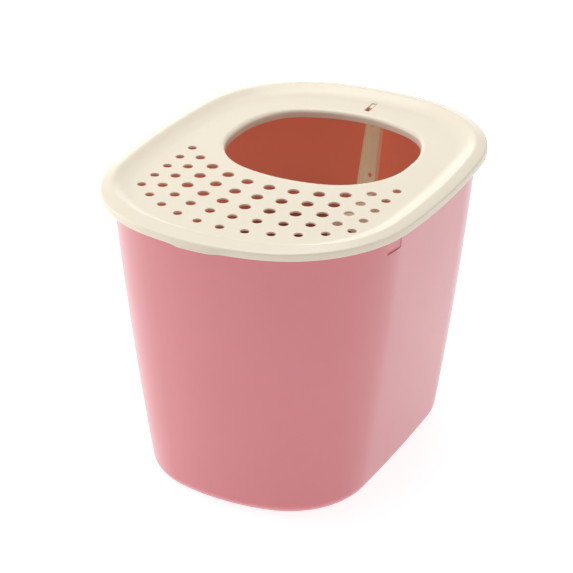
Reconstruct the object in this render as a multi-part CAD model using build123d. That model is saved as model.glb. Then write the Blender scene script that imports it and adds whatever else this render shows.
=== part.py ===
from build123d import *
from collections import namedtuple
import math
import os

# Cat litter box with a top-entry lid: a tapered tub, a lid with sieve holes and an entry opening,
# a scoop that hangs from the lid by a hook, and four rubber feet.
# Millimetres. +Z is up, -Y is the front, +X is the right. The origin is the middle of the base.

# One half of an outline, front or back: how far it reaches from the widest line, the radius of its
# end, the radius of its corners and the radius of the side between the corner and the widest line.
Half = namedtuple("Half", "reach end_r corner_r side_r")
# A whole outline, the same on the left and the right, made of arcs that meet without a kink.
Outline = namedtuple("Outline", "half_width front back")

# ---- driving dimensions: the tub and the lid seen from above
LID_EDGE = Outline(197.5, Half(248.5, 306, 160, 1000), Half(251.5, 390, 158, 1000))
TUB_TOP = Outline(181.5, Half(235.5, 251, 150, 4000), Half(235.5, 614, 144, 4000))
TUB_BASE = Outline(139, Half(194, 250, 101, 2600), Half(194, 560, 100, 2600))

# ---- heights
FOOT_PROUD = 2              # feet stand out below the tub
DECK_Z = 368                # top of the lid's flat deck

CLEAR = 1                   # a cutting block stands out of what it cuts by this much

# ---- tub
WALL = 2.6
FLOOR = 3.6
BASE_ROUND = 18             # outer radius between wall and floor
TAPER_SECTIONS = 5
TAPER_BOW = 0.3             # share of the taper that grows with the square of the depth
RIM_Z = DECK_Z + 3.6
RIM_INSET = 4.4             # edge of the rim flange, inside the lid's outer edge
RIM_THICK = 2.6
RIM_ROUND = 1

# ---- the shallow recess in each side of the tub, under the lid's edge
RECESS_Y = -104
RECESS_WIDTH = 28
RECESS_DROP = 29            # below the rim flange
RECESS_DEPTH = 1.6
RECESS_PROUD = 6            # the cutting block stands out of the wall by this much
RECESS_FRAME = 2            # extra wall round the recess, on the inside

# ---- lid
LID_THICK = 2.4
# the raised border: distance in from the outer edge, height above the deck
SKIRT_FOOT = (0, -3)
SKIRT_TOP = (0.8, 5)
SLOPE_MIDDLE = (6.5, 6.7)
RIDGE_OUT = (14, 7.9)
RIDGE_MIDDLE = (16.5, 8)
RIDGE_IN = (18.5, 7.2)
DECK_EDGE = (31, 0)
UNDER_SKIRT = (2.8, 3.8)    # the corner inside the border, where the skirt meets the slope
DECK_OVERLAP = 3            # the border's inner end runs this far into the deck plate

TAB_WIDTH = 62              # finger tab at the middle of the front edge
TAB_PROUD = 3.4
TAB_ROOT = 2                # its ends lie this far inside the edge
TAB_THICK = 3

# ---- entry opening
ENTRY = Outline(116, Half(110.5, 190, 89, 420), Half(101, 165, 69, 117))
ENTRY_Y = 73.5              # its widest line
LIP_ROUND = 6               # outer radius of the rolled edge
LIP_DEPTH = 11.6            # lower edge of the lip, below the deck

# ---- sieve holes: rows on arcs, the same arc moved back for each row
ROWS = 5
HALF_COLUMNS = 5
ROW_PITCH = 29.7
FIRST_ROW_Y = -188.9
ROW_ARC_RADIUS = 187.4
COLUMN_STEP = 9.3           # degrees along the arc
SMALL_HOLE = 10.6
MEDIUM_HOLE = 11.8
LARGE_HOLE = 14

# ---- slot in the deck, and the sunken ledge at its back where the scoop's hook rests
SLOT_WIDTH = 7
SLOT_FRONT = 189
SLOT_BACK = 216
LEDGE_LENGTH = 9
LEDGE_DROP = 4
LEDGE_WALL = 2

# ---- scoop, as it hangs in front of the tub's back wall
HANDLE_LEAN = 15            # degrees from upright, lower end forward
BOWL_LEAN = 6
HOOK_GAP = 0.3              # between the hook's tip and the ledge
HOOK_THICK = 2.9            # its tip is round, and the scoop swings about the middle of it
HOOK_TIP_Y = 213.8
FIN_GAP = 0.5               # between the upright fin and the front of the ledge
FIN_FRONT_Y = 202
FIN_FRONT_DROP = 8          # the fin's front comes down this far below the top of the handle
FIN_SHOULDER = 5            # below the ledge, where the fin widens to the back
FIN_ROOT = ((8, -2), (5, -15), (-6, -16))   # its lower corners, from the top of the handle
FIN_WIDTH = 4.4
HANDLE_TOP_Y = 214
HANDLE_TOP_Z = DECK_Z - 14
HANDLE_LENGTH = 134
HANDLE_WIDTHS = (20, 26)    # at the top and at the bowl
HANDLE_DEPTH = 12
HANDLE_ROUND = 5            # corner radius at its top end
SCOOP_WALL = 2.5
HANG_HOLE = 6
HANG_HOLE_DOWN = 80
BOWL_TOP_Y = 170
BOWL_OVERLAP = 8            # the handle runs this far down the front of the bowl
BOWL_LENGTH = 122
BOWL_WIDTHS = (84, 102)     # at the handle and at the tip
BOWL_DEPTH = 32
BOWL_TIP_DEPTH = 16         # height of the side walls at the tip
BOWL_TIP_SLOPE = 40         # length over which they come down to it
BOWL_ROUND = 9
BOWL_SLOTS = 7
BOWL_SLOT_WIDTH = 6
BOWL_SLOT_PITCH = 10.5
BOWL_SLOT_ROWS = ((24, 62), (68, 106))   # from and to, down from the top of the bowl

# ---- feet
FOOT_RADIUS = 11
FOOT_SUNK = 1.5
FOOT_CHAMFER = 0.8
FOOT_X = 88
FOOT_Y = 140


def corner_centre(half_width, half):
    """The centre of the corner arc for x > 0, with the half's reach taken along +Y."""
    end = Vector(0, half.reach - half.end_r)
    side = Vector(half_width - half.side_r, 0)
    to_end = half.end_r - half.corner_r
    to_side = half.side_r - half.corner_r
    span = (side - end).length
    along = (to_end ** 2 - to_side ** 2 + span ** 2) / (2 * span)
    across = math.sqrt(to_end ** 2 - along ** 2)
    forward = (side - end).normalized()
    return end + forward * along + Vector(forward.Y, -forward.X) * across


def corner(half_width, half, way):
    """Where a corner arc starts on the side, its middle, and where it ends on the end arc, for x > 0.
    way is +1 for the back half and -1 for the front half."""
    end = Vector(0, half.reach - half.end_r)
    side = Vector(half_width - half.side_r, 0)
    centre = corner_centre(half_width, half)
    on_end = end + (centre - end).normalized() * half.end_r
    on_side = side + (centre - side).normalized() * half.side_r
    out = ((on_end - centre) + (on_side - centre)).normalized()
    middle = centre + out * half.corner_r
    return [Vector(p.X, p.Y * way) for p in (on_side, middle, on_end)]


def side_middle(half_width, half, on_side, way):
    """The middle of the stretch of side between the widest line and the corner, for x > 0."""
    angle = math.asin(abs(on_side.Y) / half.side_r) / 2
    x = half_width - half.side_r * (1 - math.cos(angle))
    return Vector(x, way * half.side_r * math.sin(angle))


def mirrored(p):
    return Vector(-p.X, p.Y)


def outline_wire(outline, inset=0, z=0, y=0):
    """The closed outline, moved in by inset, starting at its widest point on the right."""
    width = outline.half_width - inset
    front, back = [
        Half(h.reach - inset, h.end_r - inset, h.corner_r - inset, h.side_r - inset)
        for h in (outline.front, outline.back)
    ]
    bs, bm, be = corner(width, back, 1)
    fs, fm, fe = corner(width, front, -1)
    b_side = side_middle(width, back, bs, 1)
    f_side = side_middle(width, front, fs, -1)
    right, left = Vector(width, 0), Vector(-width, 0)
    stations = [
        (right, b_side, bs),
        (bs, bm, be),
        (be, Vector(0, back.reach), mirrored(be)),
        (mirrored(be), mirrored(bm), mirrored(bs)),
        (mirrored(bs), mirrored(b_side), left),
        (left, mirrored(f_side), mirrored(fs)),
        (mirrored(fs), mirrored(fm), mirrored(fe)),
        (mirrored(fe), Vector(0, -front.reach), fe),
        (fe, fm, fs),
        (fs, f_side, right),
    ]
    wire = Wire([ThreePointArc(*points) for points in stations])
    return wire.moved(Location((0, y, z)))


def plate(outline, inset, low, high, y=0):
    """A flat plate with this outline, from low to high."""
    return extrude(Face(outline_wire(outline, inset, low, y)), high - low, dir=(0, 0, 1))


def between(first, second, share):
    """An outline part of the way from the first to the second."""
    def mix(a, b):
        return a + (b - a) * share

    halves = [
        Half(*[mix(a, b) for a, b in zip(h, k)])
        for h, k in ((first.front, second.front), (first.back, second.back))
    ]
    return Outline(mix(first.half_width, second.half_width), *halves)


def tub_outline(z):
    """The tub wall's outer outline at height z: the taper grows gently towards the base."""
    depth = (RIM_Z - z) / (RIM_Z - FOOT_PROUD)
    share = depth * (1 - TAPER_BOW) + depth * depth * TAPER_BOW
    return between(TUB_TOP, TUB_BASE, share)


def tub_loft(low, high, inset):
    heights = [low + (high - low) * i / (TAPER_SECTIONS - 1) for i in range(TAPER_SECTIONS)]
    return loft([Face(outline_wire(tub_outline(z), inset, z)) for z in heights])


def rounded_base(solid, radius):
    """The solid with the edge round its lowest face rounded."""
    base_edges = solid.faces().sort_by(Axis.Z)[0].edges()
    return fillet(base_edges, radius)


def recess_place(side):
    """A plane on the tub wall at the middle of the recess, facing straight out of the wall."""
    z = RIM_Z - RIM_THICK - RECESS_DROP / 2
    wall = tub_outline(z)
    centre = corner_centre(wall.half_width, wall.front)
    angle = math.asin((-RECESS_Y - centre.Y) / wall.front.corner_r)
    out = Vector(side * math.cos(angle), -math.sin(angle))
    point = Vector(side * centre.X, -centre.Y) + out * wall.front.corner_r
    return Plane(origin=(point.X, point.Y, z), x_dir=(-out.Y, out.X, 0), z_dir=out)


def recess_block(side, depth, margin):
    """A block in the tub wall at the recess, depth deep from the wall's face and larger by margin."""
    block = Box(RECESS_WIDTH + 2 * margin, RECESS_DROP + 2 * margin, depth + RECESS_PROUD)
    return recess_place(side) * Location((0, 0, (RECESS_PROUD - depth) / 2)) * block


def foot_places():
    names = ("front_left", "front_right", "rear_left", "rear_right")
    spots = [(-FOOT_X, -FOOT_Y), (FOOT_X, -FOOT_Y), (-FOOT_X, FOOT_Y), (FOOT_X, FOOT_Y)]
    return dict(zip(names, spots))


def make_tub():
    base = FOOT_PROUD
    outer = rounded_base(tub_loft(base, RIM_Z, 0), BASE_ROUND)
    inner = rounded_base(tub_loft(base + FLOOR, RIM_Z + RIM_THICK, WALL), BASE_ROUND - WALL)
    flange = plate(LID_EDGE, RIM_INSET, RIM_Z - RIM_THICK, RIM_Z)
    flange = fillet(flange.edges().group_by(Axis.Z)[-1], RIM_ROUND)
    tub = outer + flange - inner
    for side in (-1, 1):
        backing = recess_block(side, RECESS_DEPTH + WALL, RECESS_FRAME) & tub_loft(base, RIM_Z, 0)
        tub = tub + backing
        tub = tub - recess_block(side, RECESS_DEPTH, 0)
    for x, y in foot_places().values():
        tub = tub - Location((x, y, base + FOOT_SUNK / 2)) * Cylinder(FOOT_RADIUS, FOOT_SUNK)
    return tub


def make_foot(x, y):
    height = FOOT_PROUD + FOOT_SUNK
    pad = Cylinder(FOOT_RADIUS, height)
    pad = chamfer(pad.edges().group_by(Axis.Z)[0], FOOT_CHAMFER)
    return Location((x, y, height / 2)) * pad


def lid_point(point, drop=0):
    """A point of the border's section, on the right side of the lid."""
    inset, height = point
    return (LID_EDGE.half_width - inset, 0, DECK_Z + height - drop)


def border():
    """The raised border with its skirt, one section carried round the lid's edge."""
    inner_end = (DECK_EDGE[0] + DECK_OVERLAP, DECK_EDGE[1])
    top = [
        Line(lid_point(SKIRT_FOOT), lid_point(SKIRT_TOP)),
        ThreePointArc(lid_point(SKIRT_TOP), lid_point(SLOPE_MIDDLE), lid_point(RIDGE_OUT)),
        ThreePointArc(lid_point(RIDGE_OUT), lid_point(RIDGE_MIDDLE), lid_point(RIDGE_IN)),
        Line(lid_point(RIDGE_IN), lid_point(DECK_EDGE)),
        Line(lid_point(DECK_EDGE), lid_point(inner_end)),
    ]
    skirt_inner = (LID_THICK, SKIRT_FOOT[1])
    under = [
        Line(lid_point(inner_end), lid_point(inner_end, LID_THICK)),
        Line(lid_point(inner_end, LID_THICK), lid_point(DECK_EDGE, LID_THICK)),
        Line(lid_point(DECK_EDGE, LID_THICK), lid_point(RIDGE_IN, LID_THICK)),
        Line(lid_point(RIDGE_IN, LID_THICK), lid_point(RIDGE_OUT, LID_THICK)),
        ThreePointArc(
            lid_point(RIDGE_OUT, LID_THICK), lid_point(SLOPE_MIDDLE, LID_THICK), lid_point(UNDER_SKIRT)
        ),
        Line(lid_point(UNDER_SKIRT), lid_point(skirt_inner)),
        Line(lid_point(skirt_inner), lid_point(SKIRT_FOOT)),
    ]
    section = Face(Wire(top + under))
    return sweep(section, path=outline_wire(LID_EDGE, 0, DECK_Z))


def lip():
    """The rolled edge of the entry: a quarter round and a short fall, carried round the opening."""
    edge = ENTRY.half_width + LIP_ROUND
    centre = DECK_Z - LIP_ROUND
    thin = LIP_ROUND - LID_THICK

    def at(x, z):
        return (x, ENTRY_Y, z)

    def arc(radius):
        slant = radius * math.sqrt(0.5)
        return ThreePointArc(
            at(edge, centre + radius), at(edge - slant, centre + slant), at(edge - radius, centre)
        )

    low = DECK_Z - LIP_DEPTH
    flat = DECK_OVERLAP
    pieces = [
        Line(at(edge + flat, DECK_Z), at(edge, DECK_Z)),
        arc(LIP_ROUND),
        Line(at(edge - LIP_ROUND, centre), at(edge - LIP_ROUND, low)),
        Line(at(edge - LIP_ROUND, low), at(edge - thin, low)),
        Line(at(edge - thin, low), at(edge - thin, centre)),
        arc(thin),
        Line(at(edge, DECK_Z - LID_THICK), at(edge + flat, DECK_Z - LID_THICK)),
        Line(at(edge + flat, DECK_Z - LID_THICK), at(edge + flat, DECK_Z)),
    ]
    return sweep(Face(Wire(pieces)), path=outline_wire(ENTRY, 0, DECK_Z, ENTRY_Y))


def hole_size(row, column):
    if row == 0 or abs(column) == HALF_COLUMNS:
        return SMALL_HOLE
    if row == 1 or abs(column) == HALF_COLUMNS - 1:
        return MEDIUM_HOLE
    return LARGE_HOLE


def sieve_holes():
    holes = []
    for row in range(ROWS):
        for column in range(-HALF_COLUMNS, HALF_COLUMNS + 1):
            angle = math.radians(column * COLUMN_STEP)
            x = ROW_ARC_RADIUS * math.sin(angle)
            y = FIRST_ROW_Y + row * ROW_PITCH + ROW_ARC_RADIUS * (1 - math.cos(angle))
            drill = Cylinder(hole_size(row, column) / 2, 4 * LID_THICK)
            holes.append(Location((x, y, DECK_Z)) * drill)
    return holes


def slot_block(front, back, low, high, margin=0):
    """A block on the middle line, as wide as the slot and larger by margin on both sides."""
    width = SLOT_WIDTH + 2 * margin
    block = Box(width, back - front, high - low)
    return Location((0, (front + back) / 2, (low + high) / 2)) * block


def tab():
    """The finger tab: a shallow arc that stands out of the skirt's lower edge."""
    root = TAB_ROOT - LID_EDGE.front.reach
    left, right = (-TAB_WIDTH / 2, root), (TAB_WIDTH / 2, root)
    tip = (0, -LID_EDGE.front.reach - TAB_PROUD)
    face = Face(Wire([ThreePointArc(left, tip, right), Line(right, left)]))
    solid = extrude(face.moved(Location((0, 0, DECK_Z + SKIRT_FOOT[1]))), TAB_THICK, dir=(0, 0, 1))
    return solid - plate(LID_EDGE, LID_THICK, DECK_Z - TAB_THICK, DECK_Z + TAB_THICK)


def make_lid():
    deck = plate(LID_EDGE, DECK_EDGE[0], DECK_Z - LID_THICK, DECK_Z)
    deck = deck - plate(ENTRY, -LIP_ROUND, DECK_Z - 3 * LID_THICK, DECK_Z + LID_THICK, ENTRY_Y)
    lid = deck + border() + lip() + tab()
    ledge_low = DECK_Z - LEDGE_DROP - LEDGE_WALL
    ledge_front = SLOT_BACK - LEDGE_LENGTH
    lid = lid + slot_block(ledge_front, SLOT_BACK + LEDGE_WALL, ledge_low, DECK_Z - CLEAR, LEDGE_WALL)
    lid = lid - slot_block(SLOT_FRONT, ledge_front, ledge_low - CLEAR, DECK_Z + CLEAR)
    lid = lid - slot_block(SLOT_FRONT, SLOT_BACK, DECK_Z - LEDGE_DROP, DECK_Z + CLEAR)
    return lid - sieve_holes()


def hanging_plane(y, z, lean):
    """A plane that leans like the scoop: x to the right, y up along the scoop, z out to the front."""
    tilt = math.radians(lean)
    return Plane(origin=(0, y, z), x_dir=(1, 0, 0), z_dir=(0, -math.cos(tilt), math.sin(tilt)))


def trapezium(widths, high, low, inset=0):
    """A face on the middle line from high down to low, as wide as widths at its two ends."""
    top, bottom = widths[0] / 2 - inset, widths[1] / 2 - inset
    corners = [(-top, high), (top, high), (bottom, low), (-bottom, low)]
    return Face(Wire.make_polygon([Vector(*p) for p in corners], close=True))


def handle():
    """A channel closed at its top end and open to the front, with a hole through its back."""
    outer = extrude(trapezium(HANDLE_WIDTHS, 0, -HANDLE_LENGTH), -HANDLE_DEPTH, dir=(0, 0, 1))
    outer = fillet(outer.edges().filter_by(Axis.Z).group_by(Axis.Y)[-1], HANDLE_ROUND)
    groove = trapezium(HANDLE_WIDTHS, -SCOOP_WALL, -HANDLE_LENGTH + SCOOP_WALL, SCOOP_WALL)
    groove = extrude(groove, SCOOP_WALL - HANDLE_DEPTH, dir=(0, 0, 1))
    groove = fillet(groove.edges().filter_by(Axis.Z).group_by(Axis.Y)[-1], HANDLE_ROUND - SCOOP_WALL)
    hole = Location((0, -HANG_HOLE_DOWN, -HANDLE_DEPTH)) * Cylinder(HANG_HOLE / 2, 4 * SCOOP_WALL)
    return hanging_plane(HANDLE_TOP_Y, HANDLE_TOP_Z, HANDLE_LEAN) * (outer - groove - hole)


def hook():
    """The upright fin at the top of the handle, whose tip lies on the ledge in the lid's slot."""
    ledge = DECK_Z - LEDGE_DROP
    hook_low = ledge + HOOK_GAP
    tip_round = HOOK_THICK / 2
    tip_y = HOOK_TIP_Y - tip_round
    fin_back = SLOT_BACK - LEDGE_LENGTH - FIN_GAP
    side_view = [
        (FIN_FRONT_Y, hook_low + HOOK_THICK),
        (tip_y, hook_low + HOOK_THICK),
        (tip_y, hook_low),
        (fin_back, hook_low),
        (fin_back, ledge - FIN_SHOULDER),
        *[(HANDLE_TOP_Y + y, HANDLE_TOP_Z + z) for y, z in FIN_ROOT],
        (FIN_FRONT_Y, HANDLE_TOP_Z - FIN_FRONT_DROP),
    ]
    face = Face(Wire.make_polygon([Vector(-FIN_WIDTH / 2, y, z) for y, z in side_view], close=True))
    tip = Location((0, tip_y, hook_low + tip_round), (0, 90, 0)) * Cylinder(tip_round, FIN_WIDTH)
    return extrude(face, FIN_WIDTH, dir=(1, 0, 0)) + tip


def bowl_shell():
    """The bowl without its slots: a tray with rounded corners, open to the back and at its tip."""
    corner_round = 2 * BOWL_ROUND
    outer = extrude(trapezium(BOWL_WIDTHS, 0, -BOWL_LENGTH), -BOWL_DEPTH, dir=(0, 0, 1))
    outer = fillet(outer.edges().filter_by(Axis.Z).group_by(Axis.Y)[-1], corner_round)
    front = outer.faces().sort_by(Axis.Z)[-1]
    outer = fillet([e for e in front.edges() if e.center().Y > CLEAR - BOWL_LENGTH], BOWL_ROUND)
    inside = trapezium(BOWL_WIDTHS, -SCOOP_WALL, -BOWL_LENGTH - SCOOP_WALL, SCOOP_WALL)
    inner = extrude(inside, -BOWL_DEPTH, dir=(0, 0, 1))
    inner = fillet(inner.edges().filter_by(Axis.Z).group_by(Axis.Y)[-1], corner_round - SCOOP_WALL)
    floor = inner.faces().sort_by(Axis.Z)[-1]
    inner = fillet([e for e in floor.edges() if e.center().Y > -BOWL_LENGTH], BOWL_ROUND - SCOOP_WALL)
    return outer - Location((0, 0, -SCOOP_WALL)) * inner


def bowl_slope():
    """The wedge that brings the bowl's side walls down towards its tip."""
    high, low = -BOWL_LENGTH + BOWL_TIP_SLOPE, -BOWL_LENGTH - CLEAR
    behind = -2 * BOWL_DEPTH
    side_view = [(high, -BOWL_DEPTH), (low, -BOWL_TIP_DEPTH), (low, behind), (high, behind)]
    left = -BOWL_WIDTHS[1]
    wedge = Face(Wire.make_polygon([Vector(left, y, z) for y, z in side_view], close=True))
    return extrude(wedge, -2 * left, dir=(1, 0, 0))


def bowl_slots():
    cuts = []
    for high, low in BOWL_SLOT_ROWS:
        opening = SlotOverall(low - high, BOWL_SLOT_WIDTH, rotation=90)
        cut = extrude(opening, 4 * SCOOP_WALL, both=True)
        for i in range(BOWL_SLOTS):
            x = (i - (BOWL_SLOTS - 1) / 2) * BOWL_SLOT_PITCH
            cuts.append(Location((x, -(high + low) / 2, 0)) * cut)
    return cuts


def bowl():
    """The slotted bowl, with its floor to the front and its open side to the tub's back wall."""
    top_z = HANDLE_TOP_Z - (HANDLE_LENGTH - BOWL_OVERLAP) * math.cos(math.radians(HANDLE_LEAN))
    return hanging_plane(BOWL_TOP_Y, top_z, BOWL_LEAN) * (bowl_shell() - bowl_slope() - bowl_slots())


def make_scoop():
    return handle() + hook() + bowl()


def save(name, shape):
    export_step(shape, f"parts/{name}.step")


os.makedirs("parts", exist_ok=True)
save("tub", make_tub())
save("lid", make_lid())
save("scoop", make_scoop())
for name, (x, y) in foot_places().items():
    save(f"foot_{name}", make_foot(x, y))
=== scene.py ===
"""A top-entry cat litter box: a pink tub, a cream lid with sieve holes, a hanging scoop and rubber feet."""
import math
from collections import namedtuple

import bmesh
import bpy
from mathutils import Euler, Matrix, Vector


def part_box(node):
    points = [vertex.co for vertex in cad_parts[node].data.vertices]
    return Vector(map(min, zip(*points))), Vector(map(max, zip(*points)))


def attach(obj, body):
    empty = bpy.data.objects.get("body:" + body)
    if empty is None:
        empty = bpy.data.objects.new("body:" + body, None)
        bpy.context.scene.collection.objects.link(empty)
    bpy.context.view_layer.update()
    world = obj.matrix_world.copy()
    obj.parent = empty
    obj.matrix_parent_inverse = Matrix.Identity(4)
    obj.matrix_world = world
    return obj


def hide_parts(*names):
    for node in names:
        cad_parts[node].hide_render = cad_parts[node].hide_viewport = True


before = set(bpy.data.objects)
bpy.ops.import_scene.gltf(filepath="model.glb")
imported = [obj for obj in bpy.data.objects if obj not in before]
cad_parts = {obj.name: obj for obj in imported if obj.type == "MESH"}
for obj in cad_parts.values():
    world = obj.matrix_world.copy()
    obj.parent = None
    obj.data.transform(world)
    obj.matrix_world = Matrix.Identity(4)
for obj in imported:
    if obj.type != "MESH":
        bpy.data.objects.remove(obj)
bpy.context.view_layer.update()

# ---- outlines seen from above, in metres, as in the drawing of the tub and lid
# One half of an outline, front or back: how far it reaches from the widest line, and the radii of
# its end, of its corners and of the side between the corner and the widest line.
Half = namedtuple("Half", "reach end_r corner_r side_r")
Outline = namedtuple("Outline", "half_width front back")

LID_EDGE = Outline(0.1975, Half(0.2485, 0.306, 0.160, 1.0), Half(0.2515, 0.390, 0.158, 1.0))
TUB_TOP = Outline(0.1815, Half(0.2355, 0.251, 0.150, 4.0), Half(0.2355, 0.614, 0.144, 4.0))
TUB_BASE = Outline(0.139, Half(0.194, 0.250, 0.101, 2.6), Half(0.194, 0.560, 0.100, 2.6))
ENTRY = Outline(0.116, Half(0.1105, 0.190, 0.089, 0.420), Half(0.101, 0.165, 0.069, 0.117))
ENTRY_Y = 0.0735

# ---- heights, from the frame
tub_low, tub_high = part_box("tub")
BASE_Z = tub_low.z
RIM_Z = tub_high.z
DECK_Z = RIM_Z - 0.0036

# ---- tub
WALL = 0.0026
BASE_ROUND = 0.018 * 0.89    # the wall leans out, so a round of 18 mm takes less than 18 mm of it
TAPER_BOW = 0.3
TUB_RINGS = 12
RIM_INSET = 0.0044
RIM_EASE = 0.0006            # room left between the rim flange and the lid
SHELF_Z = RIM_Z - RIM_EASE - WALL
RECESS_Y = -0.104
RECESS_WIDTH = 0.028
RECESS_DROP = 0.029
RECESS_DEPTH = 0.0016
RECESS_FRAME = 0.002         # how far its backing reaches beyond it
RECESS_PROUD = 0.006         # how far its tool stands out of the wall
RECESS_UNDER_RIM = 0.001
RECESS_ROUND = 0.0012

# ---- lid
LID_THICK = 0.0024
# the raised border's section: distance in from the edge, height above the deck, how far its corner is rounded
BORDER_SECTION = [
    (0.0000, -0.0030, 0.0),
    (0.0006, 0.0052, 0.0022),
    (0.0065, 0.0068, 0.0030),
    (0.0148, 0.0086, 0.0026),
    (0.0290, 0.0004, 0.0080),
    (0.0390, 0.0000, 0.0),
]
FRONT_BORDER_FROM = 0.17     # from here forward the crest moves in
FRONT_BORDER_BLEND = 0.06
FRONT_BORDER_EXTRA = 0.007
FRONT_BORDER_LOW = 0.0054    # the crest moves in more the higher a point is, from this height
FRONT_BORDER_RISE = 0.003
TAB_HALF = 0.027
TAB_BLEND = 0.007
TAB_PROUD = 0.0034
LIP_ROUND = 0.006
LIP_DEPTH = 0.0116
LIP_FLAT = 0.003             # the flat ring between the lip's round and the deck's fill
LID_EDGE_ROUND = 0.0007

# ---- sieve holes
ROWS = 5
HALF_COLUMNS = 5
ROW_PITCH = 0.0297
FIRST_ROW_Y = -0.1889
ROW_ARC_RADIUS = 0.1874
COLUMN_STEP = math.radians(9.3)
SMALL_HOLE = 0.0106
MEDIUM_HOLE = 0.0118
LARGE_HOLE = 0.014
HOLE_ROUND = 0.0009
TOOL_RISE = 0.0004           # how far a cutting tool stands above the deck

# ---- slot for the scoop's hook
SLOT_WIDTH = 0.007
SLOT_FRONT = 0.189
SLOT_BACK = 0.216
LEDGE_LENGTH = 0.009
LEDGE_DROP = 0.004
LEDGE_WALL = 0.002
LEDGE_ROUND = 0.001
SLOT_ROUND = 0.0012

# ---- scoop, as it hangs in the slot
HANDLE_LEAN = math.radians(15)
BOWL_LEAN = math.radians(6)
HOOK_GAP = 0.0003
HOOK_THICK = 0.0029
HOOK_TIP_Y = 0.2138
FIN_GAP = 0.0005
FIN_FRONT_Y = 0.202
FIN_FRONT_DROP = 0.008
FIN_SHOULDER = 0.005
FIN_ROOT = ((0.008, -0.002), (0.005, -0.015), (-0.006, -0.016))
FIN_WIDTH = 0.0044
FIN_ROUND = 0.001
FIN_NOTCH_ROUND = 0.0006
FIN_EDGE_ROUND = 0.0004
HANDLE_TOP_Y = 0.214
HANDLE_TOP_Z = DECK_Z - 0.014
HANDLE_LENGTH = 0.134
HANDLE_WIDTHS = (0.020, 0.026)
HANDLE_DEPTH = 0.012
HANDLE_ROUND = 0.005
HANDLE_BACK_ROUND = 0.0012
HANDLE_FLOOR_ROUND = 0.0010
HANDLE_RIM_ROUND = 0.0007
SCOOP_WALL = 0.0025
HANG_HOLE = 0.006
HANG_HOLE_DOWN = 0.080
BOWL_TOP_Y = 0.170
BOWL_OVERLAP = 0.008
BOWL_LENGTH = 0.122
BOWL_WIDTHS = (0.084, 0.102)
BOWL_DEPTH = 0.032
BOWL_TIP_DEPTH = 0.016
BOWL_TIP_SLOPE = 0.040
BOWL_ROUND = 0.009
BOWL_SLOTS = 7
BOWL_SLOT_WIDTH = 0.006
BOWL_SLOT_PITCH = 0.0105
BOWL_SLOT_ROWS = ((0.024, 0.062), (0.068, 0.106))

# ---- feet
FOOT_ROUND = 0.0012
FOOT_RING = 0.0018           # the flat ring that stands on the floor
FOOT_DISH = 0.0006

# ---- how finely round stretches are divided
TURN_STEP = math.radians(2.4)
RUN_STEP = 0.011
CLOSE = 0.00001              # points nearer than this are one point
DOT_SIZE = 0.01              # the plane that is merged into a first point
NEARLY_HALF = 0.49           # two rounds of half a side would meet in one point

# ---- shading
SHARP_ANGLE = 32             # in degrees: edges sharper than this stay sharp


# ======================================================================= modelling by hand
def deselect():
    bpy.ops.object.select_all(action="DESELECT")


def dot(place):
    """Adds one point to the mesh being edited, and selects only it."""
    bpy.ops.mesh.select_mode(type="VERT")
    bpy.ops.mesh.select_all(action="DESELECT")
    bpy.ops.mesh.primitive_plane_add(size=DOT_SIZE, location=place)
    bpy.ops.mesh.merge(type="CENTER")


def begin(name, place):
    """A new object that is one point, open for editing."""
    deselect()
    bpy.ops.mesh.primitive_plane_add(size=DOT_SIZE, location=(0, 0, 0))
    piece = bpy.context.object
    piece.name = name
    piece.data.name = name
    bpy.ops.object.mode_set(mode="EDIT")
    bpy.ops.mesh.select_mode(type="VERT")
    bpy.ops.mesh.merge(type="CENTER")
    bpy.ops.transform.translate(value=place)
    return piece


def pick(test, kind="VERT"):
    """Selects, in the mesh being edited, each point, edge or face whose place passes the test."""
    bpy.ops.mesh.select_mode(type=kind)
    bpy.ops.mesh.select_all(action="DESELECT")
    data = bpy.context.object.data
    mesh = bmesh.from_edit_mesh(data)
    parts = {"VERT": mesh.verts, "EDGE": mesh.edges, "FACE": mesh.faces}[kind]
    for part in parts:
        if test(part):
            part.select_set(True)
    mesh.select_flush_mode()
    bmesh.update_edit_mesh(data)


def middle(part):
    """The middle of an edge or a face."""
    return sum((v.co for v in part.verts), Vector()) / len(part.verts)


def draw(points, rounds):
    """Draws a section from the selected point on, by extruding it along the points, and rounds its corners."""
    for start, end in zip(points, points[1:]):
        bpy.ops.mesh.extrude_vertices_move(TRANSFORM_OT_translate={"value": end - start})
    for point, size in zip(points, rounds):
        if size:
            pick(lambda v: (v.co - point).length < CLOSE)
            bpy.ops.mesh.bevel(offset=size, segments=6, affect="VERTICES")


def half_arcs(half_width, half):
    """The centres of the side, corner and end arcs of one half, with its reach along +Y and x > 0, and
    the directions from +X at which the side and the corner end."""
    end = Vector((0, half.reach - half.end_r))
    side = Vector((half_width - half.side_r, 0))
    to_end = half.end_r - half.corner_r
    to_side = half.side_r - half.corner_r
    span = side - end
    along = (to_end ** 2 - to_side ** 2 + span.length_squared) / (2 * span.length)
    across = math.sqrt(to_end ** 2 - along ** 2)
    forward = span.normalized()
    corner = end + forward * along + Vector((forward.y, -forward.x)) * across
    from_side = corner - side
    from_end = corner - end
    side_ends = math.atan2(from_side.y, from_side.x)
    corner_ends = math.atan2(from_end.y, from_end.x)
    return side, corner, end, side_ends, corner_ends


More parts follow.
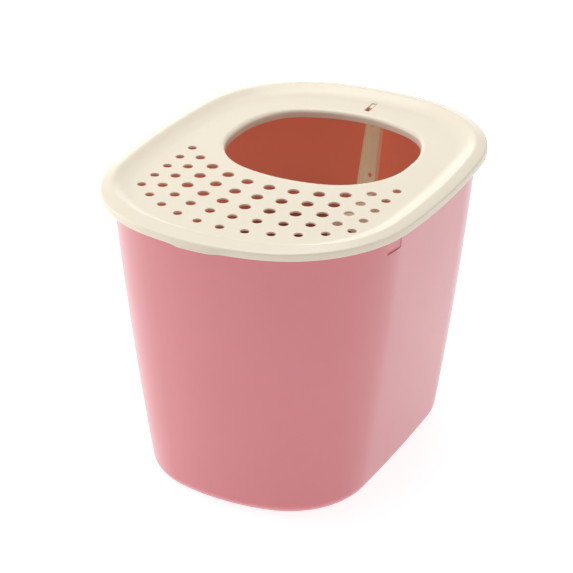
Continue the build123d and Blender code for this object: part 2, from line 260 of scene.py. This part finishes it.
def arcs(outline):
    """The arcs of an outline, anticlockwise from its widest point on the right: centre, angle, radius."""
    found = []
    for half, turn in ((outline.back, 0), (outline.front, math.pi)):
        side, corner, end, side_ends, corner_ends = half_arcs(outline.half_width, half)
        quarter = [
            (side, side_ends, half.side_r),
            (corner, corner_ends - side_ends, half.corner_r),
            (end, math.pi / 2 - corner_ends, half.end_r),
        ]
        flipped = [(Vector((-c.x, c.y)), angle, radius) for c, angle, radius in reversed(quarter)]
        for centre, angle, radius in quarter + flipped:
            turned = centre if turn == 0 else -centre
            found.append((turned, angle, radius))
    return found


def divisions(outline):
    """How many steps each arc of the outline is carried round in."""
    return [
        max(2, math.ceil(angle / TURN_STEP), math.ceil(angle * radius / RUN_STEP))
        for _, angle, radius in arcs(outline)
    ]


def carry_round(outline, steps, y=0.0):
    """Spins what is selected about the centre of each arc in turn, so that it follows the outline."""
    for (centre, angle, _), count in zip(arcs(outline), steps):
        bpy.ops.mesh.spin(steps=count, angle=angle, center=(centre.x, centre.y + y, 0), axis=(0, 0, -1))


def close_seams():
    bpy.ops.mesh.select_all(action="SELECT")
    bpy.ops.mesh.remove_doubles(threshold=CLOSE)


def face_out():
    bpy.ops.mesh.select_all(action="SELECT")
    bpy.ops.mesh.normals_make_consistent(inside=False)


def stop_editing():
    bpy.ops.object.mode_set(mode="OBJECT")


def edit(piece):
    deselect()
    piece.select_set(True)
    bpy.context.view_layer.objects.active = piece
    bpy.ops.object.mode_set(mode="EDIT")


def work(piece, kind, **settings):
    """Adds a modifier with these settings and applies it."""
    deselect()
    piece.select_set(True)
    bpy.context.view_layer.objects.active = piece
    modifier = piece.modifiers.new(kind, kind)
    for name, value in settings.items():
        setattr(modifier, name, value)
    bpy.ops.object.modifier_apply(modifier=modifier.name)


def cut(piece, tool, operation="DIFFERENCE"):
    """Cuts the tool out of the piece, or joins it to it, and throws the tool away."""
    work(piece, "BOOLEAN", object=tool, operation=operation, solver="EXACT")
    bpy.data.objects.remove(tool)


def smooth(piece):
    """Shades the piece smooth except over sharp edges, with flat faces kept flat."""
    deselect()
    piece.select_set(True)
    bpy.context.view_layer.objects.active = piece
    bpy.ops.object.shade_smooth_by_angle(angle=math.radians(SHARP_ANGLE))
    work(piece, "WEIGHTED_NORMAL", mode="FACE_AREA", weight=50, keep_sharp=True)


def resize(x, y, z, about):
    """Scales what is selected about a point."""
    bpy.ops.transform.resize(value=(x, y, z), center_override=about)


def draw_out(step):
    """Extrudes the selected faces by a step."""
    bpy.ops.mesh.extrude_region_move(TRANSFORM_OT_translate={"value": step})


def put(piece, place, x=0.0, y=0.0, z=0.0):
    """Turns a piece about the origin, carries it to its place and leaves the place in its mesh."""
    piece.matrix_world = Matrix.Translation(place) @ Euler((x, y, z)).to_matrix().to_4x4()
    deselect()
    piece.select_set(True)
    bpy.context.view_layer.objects.active = piece
    bpy.ops.object.transform_apply(location=True, rotation=True, scale=True)
    return piece


def join(pieces):
    """One object of several that don't touch each other."""
    deselect()
    for piece in pieces:
        piece.select_set(True)
    bpy.context.view_layer.objects.active = pieces[0]
    bpy.ops.object.join()
    return pieces[0]


# ======================================================================= the lid
def smoothstep(share):
    share = min(max(share, 0.0), 1.0)
    return share * share * (3 - 2 * share)


def flare_tab(piece):
    """Pushes the skirt out at the middle of the front: a shallow tab for the fingers."""
    mesh = bmesh.from_edit_mesh(piece.data)
    foot = DECK_Z + BORDER_SECTION[0][1]
    top = DECK_Z + BORDER_SECTION[1][1]
    for point in mesh.verts:
        across = smoothstep((TAB_HALF + TAB_BLEND - abs(point.co.x)) / (2 * TAB_BLEND))
        down = smoothstep((top - point.co.z) / (top - foot))
        if point.co.y < ENTRY_Y - ENTRY.front.reach - 0.1:
            point.co.y -= TAB_PROUD * across * down
    bmesh.update_edit_mesh(piece.data)


def widen_border(piece):
    """Carries the border's crest further in at the middle of the front, where the lid is longest."""
    mesh = bmesh.from_edit_mesh(piece.data)
    for point in mesh.verts:
        to_edge = LID_EDGE.front.reach + point.co.y
        forward = smoothstep((-point.co.y - FRONT_BORDER_FROM) / FRONT_BORDER_BLEND)
        if point.co.z > DECK_Z + 0.0001 and to_edge > 0.002:
            upward = smoothstep((point.co.z - DECK_Z - FRONT_BORDER_LOW) / FRONT_BORDER_RISE)
            point.co.y += FRONT_BORDER_EXTRA * forward * upward
    bmesh.update_edit_mesh(piece.data)


def lid_surface():
    """The lid's upper side: the raised border, the rolled lip of the entry and the deck between them."""
    section = [
        Vector((LID_EDGE.half_width - inset, 0, DECK_Z + height)) for inset, height, _ in BORDER_SECTION
    ]
    piece = begin("lid_moulding", section[0])
    draw(section, [size for *_, size in BORDER_SECTION])
    bpy.ops.mesh.select_all(action="SELECT")
    carry_round(LID_EDGE, divisions(LID_EDGE))
    flare_tab(piece)
    widen_border(piece)

    lip = [
        Vector((ENTRY.half_width, ENTRY_Y, DECK_Z - LIP_DEPTH)),
        Vector((ENTRY.half_width, ENTRY_Y, DECK_Z)),
        Vector((ENTRY.half_width + LIP_ROUND + LIP_FLAT, ENTRY_Y, DECK_Z)),
    ]
    dot(lip[0])
    draw(lip, [0, LIP_ROUND, 0])
    pick(lambda v: not v.link_faces)
    carry_round(ENTRY, divisions(ENTRY), ENTRY_Y)
    close_seams()
    pick(lambda e: e.is_boundary and abs(middle(e).z - DECK_Z) < CLOSE, "EDGE")
    bpy.ops.mesh.fill(use_beauty=True)
    face_out()
    stop_editing()
    return piece


def hole_tool(radius):
    """The shape of one sieve hole, flared at the top so that it leaves a rounded rim."""
    depth = 4 * LID_THICK
    deselect()
    bpy.ops.mesh.primitive_cylinder_add(
        vertices=32, radius=radius, depth=depth, location=(0, 0, DECK_Z - HOLE_ROUND - depth / 2)
    )
    tool = bpy.context.object
    bpy.ops.object.transform_apply(location=True)
    bpy.ops.object.mode_set(mode="EDIT")
    flare(radius, radius)
    stop_editing()
    return tool


def flare(half_x, half_y, centre=(0, 0)):
    """Widens the top of a cutting tool in a quarter round, up to just above the deck."""
    pick(lambda f: f.normal.z > 0.9 and middle(f).z > DECK_Z - 2 * LID_THICK, "FACE")
    steps = [math.radians(a) for a in (15, 30, 45, 60, 75)]
    rim = [(HOLE_ROUND * (1 - math.cos(a)), HOLE_ROUND * math.sin(a) - HOLE_ROUND) for a in steps]
    last_out, last_up = rim[-1]
    rim.append((last_out + (TOOL_RISE - last_up) * math.tan(steps[-1]), TOOL_RISE))
    out, up = 0.0, -HOLE_ROUND
    for next_out, next_up in rim:
        draw_out((0, 0, next_up - up))
        resize(
            (half_x + next_out) / (half_x + out), (half_y + next_out) / (half_y + out), 1,
            (centre[0], centre[1], DECK_Z + next_up),
        )
        out, up = next_out, next_up


def hole_size(row, column):
    if row == 0 or abs(column) == HALF_COLUMNS:
        return SMALL_HOLE
    if row == 1 or abs(column) == HALF_COLUMNS - 1:
        return MEDIUM_HOLE
    return LARGE_HOLE


def sieve_tool():
    """All the sieve holes' tools as one object: five rows, each the same arc moved back."""
    masters = {size: hole_tool(size / 2) for size in (SMALL_HOLE, MEDIUM_HOLE, LARGE_HOLE)}
    copies = []
    for row in range(ROWS):
        for column in range(-HALF_COLUMNS, HALF_COLUMNS + 1):
            angle = column * COLUMN_STEP
            x = ROW_ARC_RADIUS * math.sin(angle)
            y = FIRST_ROW_Y + row * ROW_PITCH + ROW_ARC_RADIUS * (1 - math.cos(angle))
            master = masters[hole_size(row, column)]
            copy = bpy.data.objects.new("hole", master.data.copy())
            copy.data.transform(Matrix.Translation((x, y, 0)))
            bpy.context.scene.collection.objects.link(copy)
            copies.append(copy)
    for master in masters.values():
        bpy.data.objects.remove(master)
    return join(copies)


def block(low, high, round_by=0.0):
    """A box between two corners, with its upright edges rounded."""
    low, high = Vector(low), Vector(high)
    deselect()
    bpy.ops.mesh.primitive_cube_add(size=1, location=(low + high) / 2, scale=high - low)
    piece = bpy.context.object
    bpy.ops.object.transform_apply(location=True, scale=True)
    if round_by:
        bpy.ops.object.mode_set(mode="EDIT")
        pick(lambda e: abs(e.verts[0].co.z - e.verts[1].co.z) > CLOSE, "EDGE")
        bpy.ops.mesh.bevel(offset=round_by, segments=5, affect="EDGES")
        stop_editing()
    return piece


def cut_slot(lid):
    """The slot in the deck, with the sunken ledge at its back where the scoop's hook rests."""
    half = SLOT_WIDTH / 2
    ledge_front = SLOT_BACK - LEDGE_LENGTH
    ledge_low = DECK_Z - LEDGE_DROP - LEDGE_WALL
    cut(lid, block(
        (-half - LEDGE_WALL, ledge_front, ledge_low),
        (half + LEDGE_WALL, SLOT_BACK + LEDGE_WALL, DECK_Z - LID_THICK / 2), LEDGE_ROUND,
    ), "UNION")
    tool = block((-half, SLOT_FRONT, DECK_Z - LEDGE_DROP), (half, SLOT_BACK, DECK_Z - HOLE_ROUND), SLOT_ROUND)
    edit(tool)
    flare(half, (SLOT_BACK - SLOT_FRONT) / 2, (0, (SLOT_BACK + SLOT_FRONT) / 2))
    stop_editing()
    cut(lid, tool)
    cut(lid, block(
        (-half, SLOT_FRONT, ledge_low - LEDGE_WALL), (half, ledge_front, DECK_Z - LID_THICK / 2), SLOT_ROUND,
    ))


def make_lid():
    lid = lid_surface()
    work(lid, "SOLIDIFY", thickness=LID_THICK, offset=-1, use_even_offset=True)
    edit(lid)
    foot = DECK_Z + BORDER_SECTION[0][1]
    lip_foot = DECK_Z - LIP_DEPTH
    pick(lambda e: all(abs(v.co.z - foot) < CLOSE or abs(v.co.z - lip_foot) < CLOSE for v in e.verts)
         and any(abs(f.normal.z) < 0.7 for f in e.link_faces), "EDGE")
    bpy.ops.mesh.bevel(offset=LID_EDGE_ROUND, segments=3, affect="EDGES")
    stop_editing()
    cut_slot(lid)
    cut(lid, sieve_tool())
    smooth(lid)
    return lid


# ======================================================================= the tub
def between(first, second, share):
    """An outline part of the way from the first to the second."""
    def mix(a, b):
        return a + (b - a) * share

    front, back = [
        Half(*[mix(a, b) for a, b in zip(h, k)])
        for h, k in ((first.front, second.front), (first.back, second.back))
    ]
    return Outline(mix(first.half_width, second.half_width), front, back)


def inset(outline, by):
    front, back = [Half(*[value - by for value in half]) for half in (outline.front, outline.back)]
    return Outline(outline.half_width - by, front, back)


def tub_outline(z):
    """The wall's outline at a height: the taper grows gently towards the base."""
    depth = (RIM_Z - z) / (RIM_Z - BASE_Z)
    return between(TUB_TOP, TUB_BASE, depth * (1 - TAPER_BOW) + depth * depth * TAPER_BOW)


def trace(outline, z, steps):
    """Draws the outline at a height."""
    dot((outline.half_width, 0, z))
    carry_round(outline, steps)


def recess_place(side, z):
    """The place on the wall's face where a recess is, at a height, and the way out of the wall there."""
    wall = tub_outline(z)
    _, corner, _, _, _ = half_arcs(wall.half_width, wall.front)
    angle = math.asin((-RECESS_Y - corner.y) / wall.front.corner_r)
    out = Vector((side * math.cos(angle), -math.sin(angle), 0))
    return Vector((side * corner.x, -corner.y, z)) + out * wall.front.corner_r, out


def recess_block(side, back, front, margin):
    """A block along the leaning wall at a recess, from one distance behind its face to another before it."""
    half_drop = RECESS_DROP / 2
    spot, out = recess_place(side, SHELF_Z - half_drop)
    above, _ = recess_place(side, SHELF_Z)
    piece = block(
        (-back, -RECESS_WIDTH / 2 - margin, -half_drop - margin),
        (front, RECESS_WIDTH / 2 + margin, half_drop - RECESS_UNDER_RIM),
    )
    lean = math.atan2((above - spot).dot(out), half_drop)
    return put(piece, spot, y=lean, z=math.atan2(out.y, out.x))


def share_materials(piece, tub, index):
    """Gives a block the tub's materials, with one of them on all its faces."""
    for material in tub.data.materials:
        piece.data.materials.append(material)
    for face in piece.data.polygons:
        face.material_index = index


def press_recess(tub, side):
    """A shallow recess in the wall under the lid's edge, backed inside so that the wall keeps its thickness."""
    backing = recess_block(side, RECESS_DEPTH + WALL, -WALL / 2, RECESS_FRAME)
    share_materials(backing, tub, 1)
    cut(tub, backing, "UNION")
    tool = recess_block(side, RECESS_DEPTH, RECESS_PROUD, 0)
    share_materials(tool, tub, 0)
    edit(tool)
    spot, out = recess_place(side, SHELF_Z)
    pick(lambda e: all((v.co - spot).xy.dot(out.xy) < 0 for v in e.verts), "EDGE")
    bpy.ops.mesh.bevel(offset=RECESS_ROUND, segments=3, affect="EDGES")
    stop_editing()
    cut(tub, tool)


def tub_surface():
    """The outside of the tub: wall, base and the underside of the rim flange."""
    steps = divisions(LID_EDGE)
    heights = [BASE_Z + (SHELF_Z - BASE_Z) * i / (TUB_RINGS - 1) for i in range(TUB_RINGS)]
    piece = begin("tub_moulding", (TUB_BASE.half_width, 0, heights[0]))
    carry_round(tub_outline(heights[0]), steps)
    for z in heights[1:]:
        trace(tub_outline(z), z, steps)
    close_seams()
    for low, high in zip(heights, heights[1:]):
        pick(lambda v: abs(v.co.z - low) < CLOSE or abs(v.co.z - high) < CLOSE)
        bpy.ops.mesh.bridge_edge_loops()
    pick(lambda v: abs(v.co.z - heights[0]) < CLOSE)
    bpy.ops.mesh.edge_face_add()
    dropped = SHELF_Z - 0.002
    trace(inset(LID_EDGE, RIM_INSET), dropped, steps)
    close_seams()
    pick(lambda e: e.is_wire or (e.is_boundary and middle(e).z > dropped), "EDGE")
    bpy.ops.mesh.bridge_edge_loops()
    pick(lambda v: abs(v.co.z - dropped) < CLOSE)
    bpy.ops.transform.translate(value=(0, 0, SHELF_Z - dropped))
    bpy.ops.mesh.select_all(action="SELECT")
    bpy.ops.mesh.normals_make_consistent(inside=True)    # the flange faces down, so that the wall faces out
    pick(lambda e: all(abs(v.co.z - BASE_Z) < CLOSE for v in e.verts), "EDGE")
    bpy.ops.mesh.bevel(offset=BASE_ROUND, segments=10, affect="EDGES")
    stop_editing()
    return piece


def make_tub(outside, inside):
    tub = tub_surface()
    tub.data.materials.append(outside)
    tub.data.materials.append(inside)
    work(tub, "SOLIDIFY", thickness=WALL, offset=-1, use_even_offset=True, material_offset=1)
    for side in (-1, 1):
        press_recess(tub, side)
    smooth(tub)
    return tub


# ======================================================================= the scoop
def panel(name, widths, length, corner_round):
    """A flat panel hanging down from the origin, as wide as widths at its ends, its top corners rounded."""
    deselect()
    bpy.ops.mesh.primitive_plane_add(size=length, location=(0, -length / 2, 0))
    piece = bpy.context.object
    piece.name = name
    piece.data.name = name
    bpy.ops.object.transform_apply(location=True)
    edit(piece)
    for width, below in zip(widths, (False, True)):
        pick(lambda v: (v.co.y < -length / 2) == below)
        resize(width / length, 1, 1, (0, 0, 0))
    pick(lambda v: v.co.y > -length / 2)
    bpy.ops.mesh.bevel(offset=corner_round, segments=8, affect="VERTICES")
    return piece


def make_handle():
    """The handle: a channel closed at its top end and open to the front, with a hole to hang it by."""
    piece = panel("scoop_moulding", HANDLE_WIDTHS, HANDLE_LENGTH, HANDLE_ROUND)
    pick(lambda f: True, "FACE")
    draw_out((0, 0, -HANDLE_DEPTH))
    face_out()
    pick(lambda e: all(abs(v.co.z + HANDLE_DEPTH) < CLOSE for v in e.verts), "EDGE")
    bpy.ops.mesh.bevel(offset=HANDLE_BACK_ROUND, segments=3, affect="EDGES")
    pick(lambda f: f.normal.z > 0.9 and abs(middle(f).z) < CLOSE, "FACE")
    bpy.ops.mesh.inset(thickness=SCOOP_WALL, use_even_offset=True)
    draw_out((0, 0, SCOOP_WALL - HANDLE_DEPTH))
    pick(lambda e: all(abs(v.co.z - SCOOP_WALL + HANDLE_DEPTH) < CLOSE for v in e.verts), "EDGE")
    bpy.ops.mesh.bevel(offset=HANDLE_FLOOR_ROUND, segments=3, affect="EDGES")
    pick(lambda e: all(abs(v.co.z) < CLOSE for v in e.verts), "EDGE")
    bpy.ops.mesh.bevel(offset=HANDLE_RIM_ROUND, segments=3, affect="EDGES")
    stop_editing()
    deselect()
    bpy.ops.mesh.primitive_cylinder_add(
        vertices=32, radius=HANG_HOLE / 2, depth=4 * SCOOP_WALL, location=(0, -HANG_HOLE_DOWN, -HANDLE_DEPTH)
    )
    cut(piece, put(bpy.context.object, bpy.context.object.location.copy()))
    return put(piece, (0, HANDLE_TOP_Y, HANDLE_TOP_Z), x=math.pi / 2 - HANDLE_LEAN)


def make_hook():
    """The upright fin at the top of the handle, with its round-tipped hook."""
    ledge = DECK_Z - LEDGE_DROP
    low = ledge + HOOK_GAP
    fin_back = SLOT_BACK - LEDGE_LENGTH - FIN_GAP
    side_view = [
        (FIN_FRONT_Y, low + HOOK_THICK, FIN_ROUND),
        (HOOK_TIP_Y, low + HOOK_THICK, HOOK_THICK * NEARLY_HALF),
        (HOOK_TIP_Y, low, HOOK_THICK * NEARLY_HALF),
        (fin_back, low, FIN_NOTCH_ROUND),
        (fin_back, ledge - FIN_SHOULDER, FIN_ROUND),
        *[(HANDLE_TOP_Y + y, HANDLE_TOP_Z + z, 0) for y, z in FIN_ROOT],
        (FIN_FRONT_Y, HANDLE_TOP_Z - FIN_FRONT_DROP, FIN_ROUND),
    ]
    points = [Vector((-FIN_WIDTH / 2, y, z)) for y, z, _ in side_view]
    piece = begin("hook", points[0])
    draw(points, [size for *_, size in side_view[:-1]] + [0])
    pick(lambda v: len(v.link_edges) == 1)
    bpy.ops.mesh.edge_face_add()
    bpy.ops.mesh.select_all(action="SELECT")
    bpy.ops.mesh.edge_face_add()
    bpy.ops.mesh.select_all(action="SELECT")
    draw_out((FIN_WIDTH, 0, 0))
    face_out()
    for side in (-FIN_WIDTH / 2, FIN_WIDTH / 2):
        pick(lambda e: all(abs(v.co.x - side) < CLOSE for v in e.verts), "EDGE")
        bpy.ops.mesh.bevel(offset=FIN_EDGE_ROUND, segments=2, affect="EDGES")
    stop_editing()
    return piece


def slot_tools():
    """The long round-ended slots of the bowl, in two rows."""
    tools = []
    half = BOWL_SLOT_WIDTH / 2
    end_round = BOWL_SLOT_WIDTH * 0.495
    for high, low in BOWL_SLOT_ROWS:
        for column in range(BOWL_SLOTS):
            x = (column - (BOWL_SLOTS - 1) / 2) * BOWL_SLOT_PITCH
            tools.append(block((x - half, -low, -3 * SCOOP_WALL), (x + half, -high, SCOOP_WALL), end_round))
    return join(tools)


def make_bowl():
    """The slotted bowl: a tray with rounded corners, open to the back and at its tip."""
    piece = panel("bowl", BOWL_WIDTHS, BOWL_LENGTH, 2 * BOWL_ROUND)
    pick(lambda f: True, "FACE")
    draw_out((0, 0, -BOWL_DEPTH))
    face_out()
    pick(lambda f: f.normal.z < -0.9 or f.normal.y < -0.9, "FACE")
    bpy.ops.mesh.delete(type="FACE")
    pick(lambda e: all(abs(v.co.z) < CLOSE for v in e.verts) and middle(e).y > CLOSE - BOWL_LENGTH, "EDGE")
    bpy.ops.mesh.bevel(offset=BOWL_ROUND, segments=8, affect="EDGES")
    high, low = BOWL_TIP_SLOPE - BOWL_LENGTH, -BOWL_LENGTH
    slope = Vector((0, BOWL_DEPTH - BOWL_TIP_DEPTH, high - low)).normalized()
    bpy.ops.mesh.select_all(action="SELECT")
    bpy.ops.mesh.bisect(plane_co=(0, high, -BOWL_DEPTH), plane_no=slope, clear_inner=True)
    close_seams()
    face_out()
    stop_editing()
    work(piece, "SOLIDIFY", thickness=SCOOP_WALL, offset=-1, use_even_offset=True)
    cut(piece, slot_tools())
    top_z = HANDLE_TOP_Z - (HANDLE_LENGTH - BOWL_OVERLAP) * math.cos(HANDLE_LEAN)
    return put(piece, (0, BOWL_TOP_Y, top_z), x=math.pi / 2 - BOWL_LEAN)


def make_scoop():
    scoop = make_handle()
    cut(scoop, make_hook(), "UNION")
    cut(scoop, make_bowl(), "UNION")
    smooth(scoop)
    return scoop


# ======================================================================= the feet
def make_foot(node):
    """A rubber foot: a low button, rounded where it meets the floor, dished underneath."""
    low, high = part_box(node)
    spot = (low + high) / 2
    radius = (high.x - low.x) / 2
    deselect()
    bpy.ops.mesh.primitive_cylinder_add(
        vertices=64, radius=radius, depth=high.z - low.z, end_fill_type="NGON", location=spot
    )
    piece = bpy.context.object
    piece.name = node + "_rubber"
    piece.data.name = piece.name
    bpy.ops.object.transform_apply(location=True)
    edit(piece)
    pick(lambda e: all(abs(v.co.z - low.z) < CLOSE for v in e.verts), "EDGE")
    bpy.ops.mesh.bevel(offset=FOOT_ROUND, segments=5, affect="EDGES")
    pick(lambda f: abs(middle(f).z - low.z) < CLOSE, "FACE")
    bpy.ops.mesh.inset(thickness=FOOT_RING)
    bpy.ops.mesh.inset(thickness=FOOT_DISH)
    bpy.ops.transform.translate(value=(0, 0, FOOT_DISH))
    stop_editing()
    smooth(piece)
    return piece


# ======================================================================= finishes
class Value:
    """A number that changes over a surface. Sums with it add nodes to the finish."""

    def __init__(self, finish, socket):
        self.finish = finish
        self.socket = socket

    def _math(self, operation, first, second):
        return self.finish.node("ShaderNodeMath", {"operation": operation}, {0: first, 1: second})

    def __add__(self, other):
        return self._math("ADD", self, other)

    def __radd__(self, other):
        return self._math("ADD", other, self)

    def __sub__(self, other):
        return self._math("SUBTRACT", self, other)

    def __rsub__(self, other):
        return self._math("SUBTRACT", other, self)

    def __mul__(self, other):
        return self._math("MULTIPLY", self, other)

    def __rmul__(self, other):
        return self._math("MULTIPLY", other, self)


class Finish:
    """A material being made for this box."""

    def __init__(self, name):
        self.material = bpy.data.materials.new(name)
        self.material.use_nodes = True
        self.tree = self.material.node_tree
        self.shader = next(n for n in self.tree.nodes if n.type == "BSDF_PRINCIPLED")

    def plug(self, value, socket):
        if isinstance(value, Value):
            self.tree.links.new(value.socket, socket)
        else:
            socket.default_value = value

    def node(self, kind, settings=None, inputs=None, output=0):
        """Adds a node, sets it up, fills its sockets and gives one of its outputs."""
        made = self.tree.nodes.new(kind)
        for name, value in (settings or {}).items():
            setattr(made, name, value)
        for name, value in (inputs or {}).items():
            self.plug(value, made.inputs[name])
        return Value(self, made.outputs[output])

    def place(self):
        return self.node("ShaderNodeTexCoord", output="Object")

    def noise(self, scale, detail=2.0, stretch=(1, 1, 1)):
        spot = self.node("ShaderNodeMapping", None, {"Vector": self.place(), "Scale": stretch})
        return self.node("ShaderNodeTexNoise", None, {"Vector": spot, "Scale": scale, "Detail": detail})

    def mix(self, share, first, second):
        """A colour part of the way from the first to the second."""
        return self.node("ShaderNodeMix", {"data_type": "RGBA"}, {0: share, 6: first, 7: second}, 2)

    def rise(self, low, high):
        """Nothing below one height and all above another, smoothly between them."""
        upright = self.node("ShaderNodeSeparateXYZ", None, {0: self.place()}, "Z")
        return self.node(
            "ShaderNodeMapRange", {"interpolation_type": "SMOOTHSTEP"},
            {"Value": upright, "From Min": low, "From Max": high}, "Result",
        )

    def bump(self, height, distance, strength):
        return self.node("ShaderNodeBump", None, {"Height": height, "Distance": distance, "Strength": strength})

    def surface(self, **sockets):
        for name, value in sockets.items():
            self.plug(value, self.shader.inputs[name.replace("_", " ")])
        return self.material


def linear(red, green, blue):
    """A colour given as it is seen, 0 to 255, in the units that shaders use."""
    def one(value):
        value /= 255
        return value / 12.92 if value <= 0.04045 else ((value + 0.055) / 1.055) ** 2.4

    return (one(red), one(green), one(blue), 1.0)


def moulded_plastic(name, colour, deep, roughness, gloss, painted_glow_colour=None, low=None):
    """Satin moulded polypropylene: faint clouds in the colour, fine grain from the mould, soft ripples. A
    painted glow stands in for the light a thin wall lets through and fades towards the base; if low is given,
    painted shade also darkens the colour towards the base."""
    finish = Finish(name)
    dark = (0, 0, 0, 1)
    # painted glow: an emission that stands in for light let through the wall, rising between two heights
    painted_glow = dark
    if painted_glow_colour:
        painted_glow = finish.mix(finish.rise(PAINTED_LIGHT_FROM, PAINTED_LIGHT_TO), dark, painted_glow_colour)
    clouds = finish.noise(9, 3)
    flow = finish.noise(22, 2, (1, 1, 0.25))
    grain = finish.noise(1900, 2)
    ripple = finish.noise(70, 2)
    tone = finish.mix((clouds * 0.6 + flow * 0.4 - 0.32) * 1.4, colour, deep)
    # painted shade: where low is given, the colour darkens towards the base
    if low:
        tone = finish.mix(finish.rise(PAINTED_LIGHT_FROM, PAINTED_LIGHT_TO), low, tone)
    rough = roughness + (grain - 0.5) * 0.10 + (clouds - 0.5) * 0.08
    skin = finish.bump(grain * 0.7 + ripple * 0.3, 0.00006, 0.5)
    return finish.surface(
        Base_Color=tone, Roughness=rough, Normal=skin, IOR=1.49, Coat_Weight=gloss, Coat_Roughness=0.18,
        Emission_Color=painted_glow, Emission_Strength=1.0,
    )


def foot_rubber():
    """Soft matt rubber: mottled grey with a dusty bloom and a pebbled skin."""
    finish = Finish("foot_rubber_grey")
    mottle = finish.noise(160, 3)
    pebble = finish.noise(1400, 3)
    tone = finish.mix(mottle, linear(186, 184, 180), linear(204, 202, 198))
    rough = 0.72 + (mottle - 0.5) * 0.2
    return finish.surface(Base_Color=tone, Roughness=rough, Normal=finish.bump(pebble, 0.0001, 0.6), IOR=1.5)


# ======================================================================= studio
FLOOR_GLOW = 0.78            # the floor is lit from below as well, as paper on a light table is
AIR_GLOW = 0.38


def studio():
    deselect()
    bpy.ops.mesh.primitive_plane_add(size=12, location=(0, 0, 0))
    floor = bpy.context.object
    floor.name = "studio_floor"
    finish = Finish("floor_paper")
    speckle = finish.noise(300, 2)
    floor.data.materials.append(finish.surface(
        Base_Color=finish.mix(speckle, (0.50, 0.50, 0.50, 1), (0.54, 0.54, 0.54, 1)), Roughness=0.9,
        Emission_Color=(1, 1, 1, 1), Emission_Strength=FLOOR_GLOW,
    ))

    world = bpy.data.worlds.new("studio_air")
    world.use_nodes = True
    world.node_tree.nodes["Background"].inputs["Color"].default_value = (1, 1, 1, 1)
    world.node_tree.nodes["Background"].inputs["Strength"].default_value = AIR_GLOW
    bpy.context.scene.world = world
    for name, place, size, power in (
        ("top_softbox", (-0.3, 0.2, 2.2), (1.8, 1.8), 27),
        ("left_softbox", (-2.2, -0.6, 0.9), (1.4, 1.4), 18),
        ("right_softbox", (2.2, 0.9, 1.1), (1.0, 1.0), 0.8),
        ("back_strip", (-1.2, 2.0, 0.72), (2.2, 0.5), 6),
    ):
        lamp = bpy.data.lights.new(name, "AREA")
        lamp.shape = "RECTANGLE"
        lamp.size, lamp.size_y = size
        lamp.energy = power
        holder = bpy.data.objects.new(name, lamp)
        holder.location = place
        holder.rotation_euler = (Vector(place) - Vector((0, 0, 0.2))).to_track_quat("Z", "Y").to_euler()
        bpy.context.scene.collection.objects.link(holder)


def aim_camera():
    camera = bpy.data.objects.new("camera", bpy.data.cameras.new("camera"))
    camera.data.lens = 138.22
    camera.data.sensor_width = 36
    camera.data.clip_end = 20
    camera.location = (1.0883, -2.1205, 1.4308)
    camera.rotation_euler = Vector((0.4103, -0.7892, 0.4569)).to_track_quat("Z", "Y").to_euler()
    bpy.context.scene.collection.objects.link(camera)
    bpy.context.scene.camera = camera


# ======================================================================= the whole box
aim_camera()
studio()
bpy.context.scene.view_settings.view_transform = "Standard"

PINK, PINK_DEEP = linear(217, 127, 133), linear(213, 122, 128)
CREAM, CREAM_DEEP = linear(241, 231, 211), linear(238, 226, 204)
# painted bounce light: the inside is the tub's pink plastic, coloured redder for the light that bounces and
# shines through inside it
INNER_PAINTED_BOUNCE, INNER_PAINTED_BOUNCE_DEEP = linear(232, 134, 120), linear(228, 128, 114)
INNER_PAINTED_SHADE = linear(176, 116, 98)          # painted shade: the inside darkened towards the base
TUB_PAINTED_GLOW = (0.17, 0.052, 0.028, 1)    # painted glow: emission that stands in for the red light the tub's wall lets through
# painted glow on the scoop: emission that lightens it as if light came through its thin wall
SCOOP_PAINTED_GLOW = (0.10, 0.088, 0.052, 1)
PAINTED_LIGHT_FROM = 0.17                          # heights between which the painted glow comes up and the painted shade of the inside's base gives way
PAINTED_LIGHT_TO = 0.26

tub = make_tub(
    moulded_plastic("tub_outside_pink", PINK, PINK_DEEP, 0.34, 0.5),
    # the inside: painted bounce light in its colour, painted shade towards the base and a painted glow
    moulded_plastic(
        "tub_inside_painted_bounce", INNER_PAINTED_BOUNCE, INNER_PAINTED_BOUNCE_DEEP, 0.42, 0.3, TUB_PAINTED_GLOW, INNER_PAINTED_SHADE
    ),
)
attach(tub, "tub")
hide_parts("tub")

lid = make_lid()
lid.data.materials.append(moulded_plastic("lid_cream", CREAM, CREAM_DEEP, 0.40, 0.3))
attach(lid, "lid")
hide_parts("lid")

scoop = make_scoop()
scoop.data.materials.append(
    moulded_plastic("scoop_cream", CREAM, CREAM_DEEP, 0.40, 0.3, SCOOP_PAINTED_GLOW)
)
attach(scoop, "scoop")
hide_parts("scoop")

rubber = foot_rubber()
for node in ("foot_front_left", "foot_front_right", "foot_rear_left", "foot_rear_right"):
    foot = make_foot(node)
    foot.data.materials.append(rubber)
    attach(foot, "tub")
    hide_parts(node)
